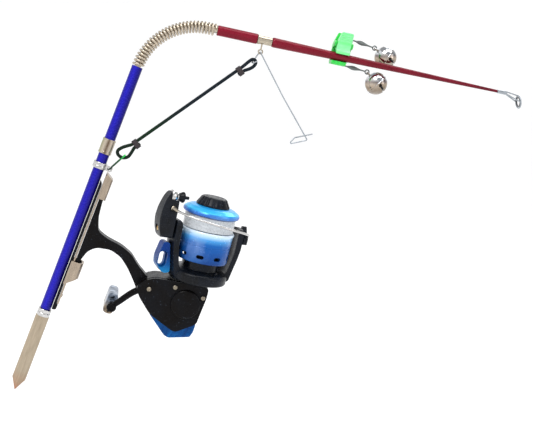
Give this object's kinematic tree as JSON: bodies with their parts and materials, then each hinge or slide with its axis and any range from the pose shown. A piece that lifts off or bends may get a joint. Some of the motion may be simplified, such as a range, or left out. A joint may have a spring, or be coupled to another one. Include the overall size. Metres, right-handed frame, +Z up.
{
  "type": "ice fishing tip-up rod",
  "caption": "Spring-loaded ice fishing rod bent over on its handle by a tether, with a trigger wire, a spinning reel, clip-on bells and a ground spike.",
  "frame": {"origin": "tip of the ground spike, on the handle's axis", "axes": "+Z up along the handle, +X the way the bent rod points, -Y the side with the reel's cover plate, +Y the crank's side"},
  "size_m": [0.3025, 0.12, 0.3662],
  "materials": {
    "blue_tube": "gloss metallic lacquer",
    "red_rod": "gloss lacquer",
    "tan_steel": "satin, warm tint",
    "nickel": "satin plated",
    "chrome": "polished",
    "spring_steel": "bright drawn wire",
    "black_plastic": "gloss",
    "blue_plastic": "gloss",
    "blue_metal": "anodised blue",
    "green_plastic": "satin, slightly translucent",
    "grey_grip": "mottled satin",
    "grey_metal": "satin",
    "line": "clear fishing line",
    "cord": "woven over rubber",
    "brass": "satin"
  },
  "bodies": {
    "handle": {"ground_spike": "tan_steel", "spike_collar": "nickel", "lower_tube": "blue_tube", "seat_backing": "black_plastic", "seat_plate": "nickel", "anchor_ring": "nickel", "tube_ferrule": "nickel", "upper_tube": "blue_tube", "spring_plug_lower": "spring_steel", "spring_1": "spring_steel", "reel_body": "black_plastic", "side_cover": "black_plastic", "body_trim": "blue_plastic", "cover_screw_1": "nickel", "cover_screw_2": "nickel", "cover_screw_3": "nickel", "crank_bush": "brass", "pinion_bearing": "nickel"},
    "sliding_hood": {"sliding_hood": "nickel"},
    "coil_a": {"spring_2": "spring_steel"},
    "coil_b": {"spring_3": "spring_steel"},
    "rod": {"spring_plug_upper": "spring_steel", "butt_tube": "red_rod", "rod_ferrule": "nickel", "rod_blank": "red_rod", "guide_frame": "chrome", "guide_insert": "black_plastic", "clip_back_jaw": "green_plastic", "clip_pin": "nickel", "clip_spring": "spring_steel", "bell_stem_1": "nickel", "bell_stem_2": "nickel"},
    "trigger": {"trigger_wire": "chrome"},
    "tether": {"tether_link": "green_plastic", "tether_cord": "cord", "tether_binding_lower": "grey_metal", "tether_binding_upper": "grey_metal"},
    "clip_jaw": {"clip_front_jaw": "green_plastic"},
    "bell_1": {"bell_shell_1": "chrome", "bell_clapper_1": "grey_metal"},
    "bell_2": {"bell_shell_2": "chrome", "bell_clapper_2": "grey_metal"},
    "crank": {"drive_gear": "brass", "crank_arm": "black_plastic"},
    "crank_knob": {"crank_knob": "grey_grip"},
    "rotor": {"rotor": "black_plastic", "arm_cover": "blue_plastic", "pinion_gear": "brass", "rotor_nut": "nickel"},
    "bail": {"bail_arm": "black_plastic", "bail_wire": "chrome", "bail_screw_near": "brass", "bail_screw_far": "brass"},
    "line_roller": {"line_roller": "chrome"},
    "main_shaft": {"main_shaft": "nickel", "oscillation_slider": "brass"},
    "spool": {"spool": "blue_metal", "line_winding": "line", "drag_washer": "grey_metal"},
    "drag_knob": {"drag_knob": "black_plastic"}
  },
  "joints": [
    {"name": "bend_1", "type": "hinge", "parent": "handle", "child": "coil_a", "pos_m": [0.00085, 0, 0.28301], "axis": [0, -1, 0], "range_deg": [0, 26.5], "stiffness_Nm_per_rad": 0.36, "springref_deg": 26.5, "deforming": ["spring_1"]},
    {"name": "bend_2", "type": "hinge", "parent": "coil_a", "child": "coil_b", "pos_m": [0.01068, 0, 0.30271], "axis": [0, -1, 0], "range_deg": [0, 26.5], "stiffness_Nm_per_rad": 0.36, "springref_deg": 26.5, "deforming": ["spring_2"]},
    {"name": "bend_3", "type": "hinge", "parent": "coil_b", "child": "rod", "pos_m": [0.02826, 0, 0.31596], "axis": [0, -1, 0], "range_deg": [0, 26.5], "stiffness_Nm_per_rad": 0.36, "springref_deg": 26.5, "deforming": ["spring_3"]},
    {"name": "tether_swing", "type": "hinge", "parent": "handle", "child": "tether", "pos_m": [0.00761, -0.00355, 0.1915], "axis": [0.3811, 0.8887, -0.255], "range_deg": [0, 108.4], "deforming": ["tether_cord"]},
    {"name": "trigger_swing", "type": "hinge", "parent": "rod", "child": "trigger", "pos_m": [0.0829, 0, 0.3175], "axis": [0, 1, 0], "range_deg": [-30, 60]},
    {"name": "hood_slide", "type": "slide", "parent": "handle", "child": "sliding_hood", "axis": [0, 0, 1], "range_m": [-0.015, 0]},
    {"name": "rotor_spin", "type": "hinge", "parent": "handle", "child": "rotor", "pos_m": [0.1026, 0, 0.1325], "axis": [-0.1564, 0, 0.9877], "continuous": true},
    {"name": "crank_spin", "type": "hinge", "parent": "handle", "child": "crank", "pos_m": [0.09969, 0, 0.11381], "axis": [0, 1, 0], "continuous": true},
    {"name": "knob_spin", "type": "hinge", "parent": "crank", "child": "crank_knob", "pos_m": [0.0515, 0, 0.0746], "axis": [0, 1, 0], "continuous": true},
    {"name": "bail_hinge", "type": "hinge", "parent": "rotor", "child": "bail", "pos_m": [0.09666, 0, 0.17003], "axis": [-0.9393, -0.309, -0.1488], "range_deg": [0, 100]},
    {"name": "roller_spin", "type": "hinge", "parent": "bail", "child": "line_roller", "pos_m": [0.06046, -0.01057, 0.19062], "axis": [0.9393, 0.309, 0.1488], "continuous": true},
    {"name": "shaft_slide", "type": "slide", "parent": "handle", "child": "main_shaft", "axis": [-0.1564, 0, 0.9877], "range_m": [-0.007, 0]},
    {"name": "spool_spin", "type": "hinge", "parent": "main_shaft", "child": "spool", "pos_m": [0.1026, 0, 0.1325], "axis": [-0.1564, 0, 0.9877], "continuous": true},
    {"name": "drag_knob_turn", "type": "hinge", "parent": "main_shaft", "child": "drag_knob", "pos_m": [0.1026, 0, 0.1325], "axis": [-0.1564, 0, 0.9877], "range_deg": [-180, 360]},
    {"name": "clip_hinge", "type": "hinge", "parent": "rod", "child": "clip_jaw", "pos_m": [0.14152, 0.0006, 0.34748], "axis": [0.9833, 0, 0.1822], "range_deg": [-15, 0], "stiffness_Nm_per_rad": 0.3, "springref_deg": 11.46, "deforming": ["clip_spring"]},
    {"name": "bell_1_sway", "type": "hinge", "parent": "rod", "child": "bell_1", "pos_m": [0.16868, 0.0129, 0.35614], "axis": [0, 1, 0], "range_deg": [-10, 15]},
    {"name": "bell_2_sway", "type": "hinge", "parent": "rod", "child": "bell_2", "pos_m": [0.16836, 0.0045, 0.33593], "axis": [0, 1, 0], "range_deg": [-8, 15]}
  ],
  "couplings": [
    {"joint": "bend_2", "follows": "bend_1", "ratio": 1},
    {"joint": "bend_3", "follows": "bend_1", "ratio": 1},
    {"joint": "tether_swing", "follows": "bend_1", "ratio": 4.08},
    {"joint": "rotor_spin", "follows": "crank_spin", "ratio": -5.2}
  ]
}
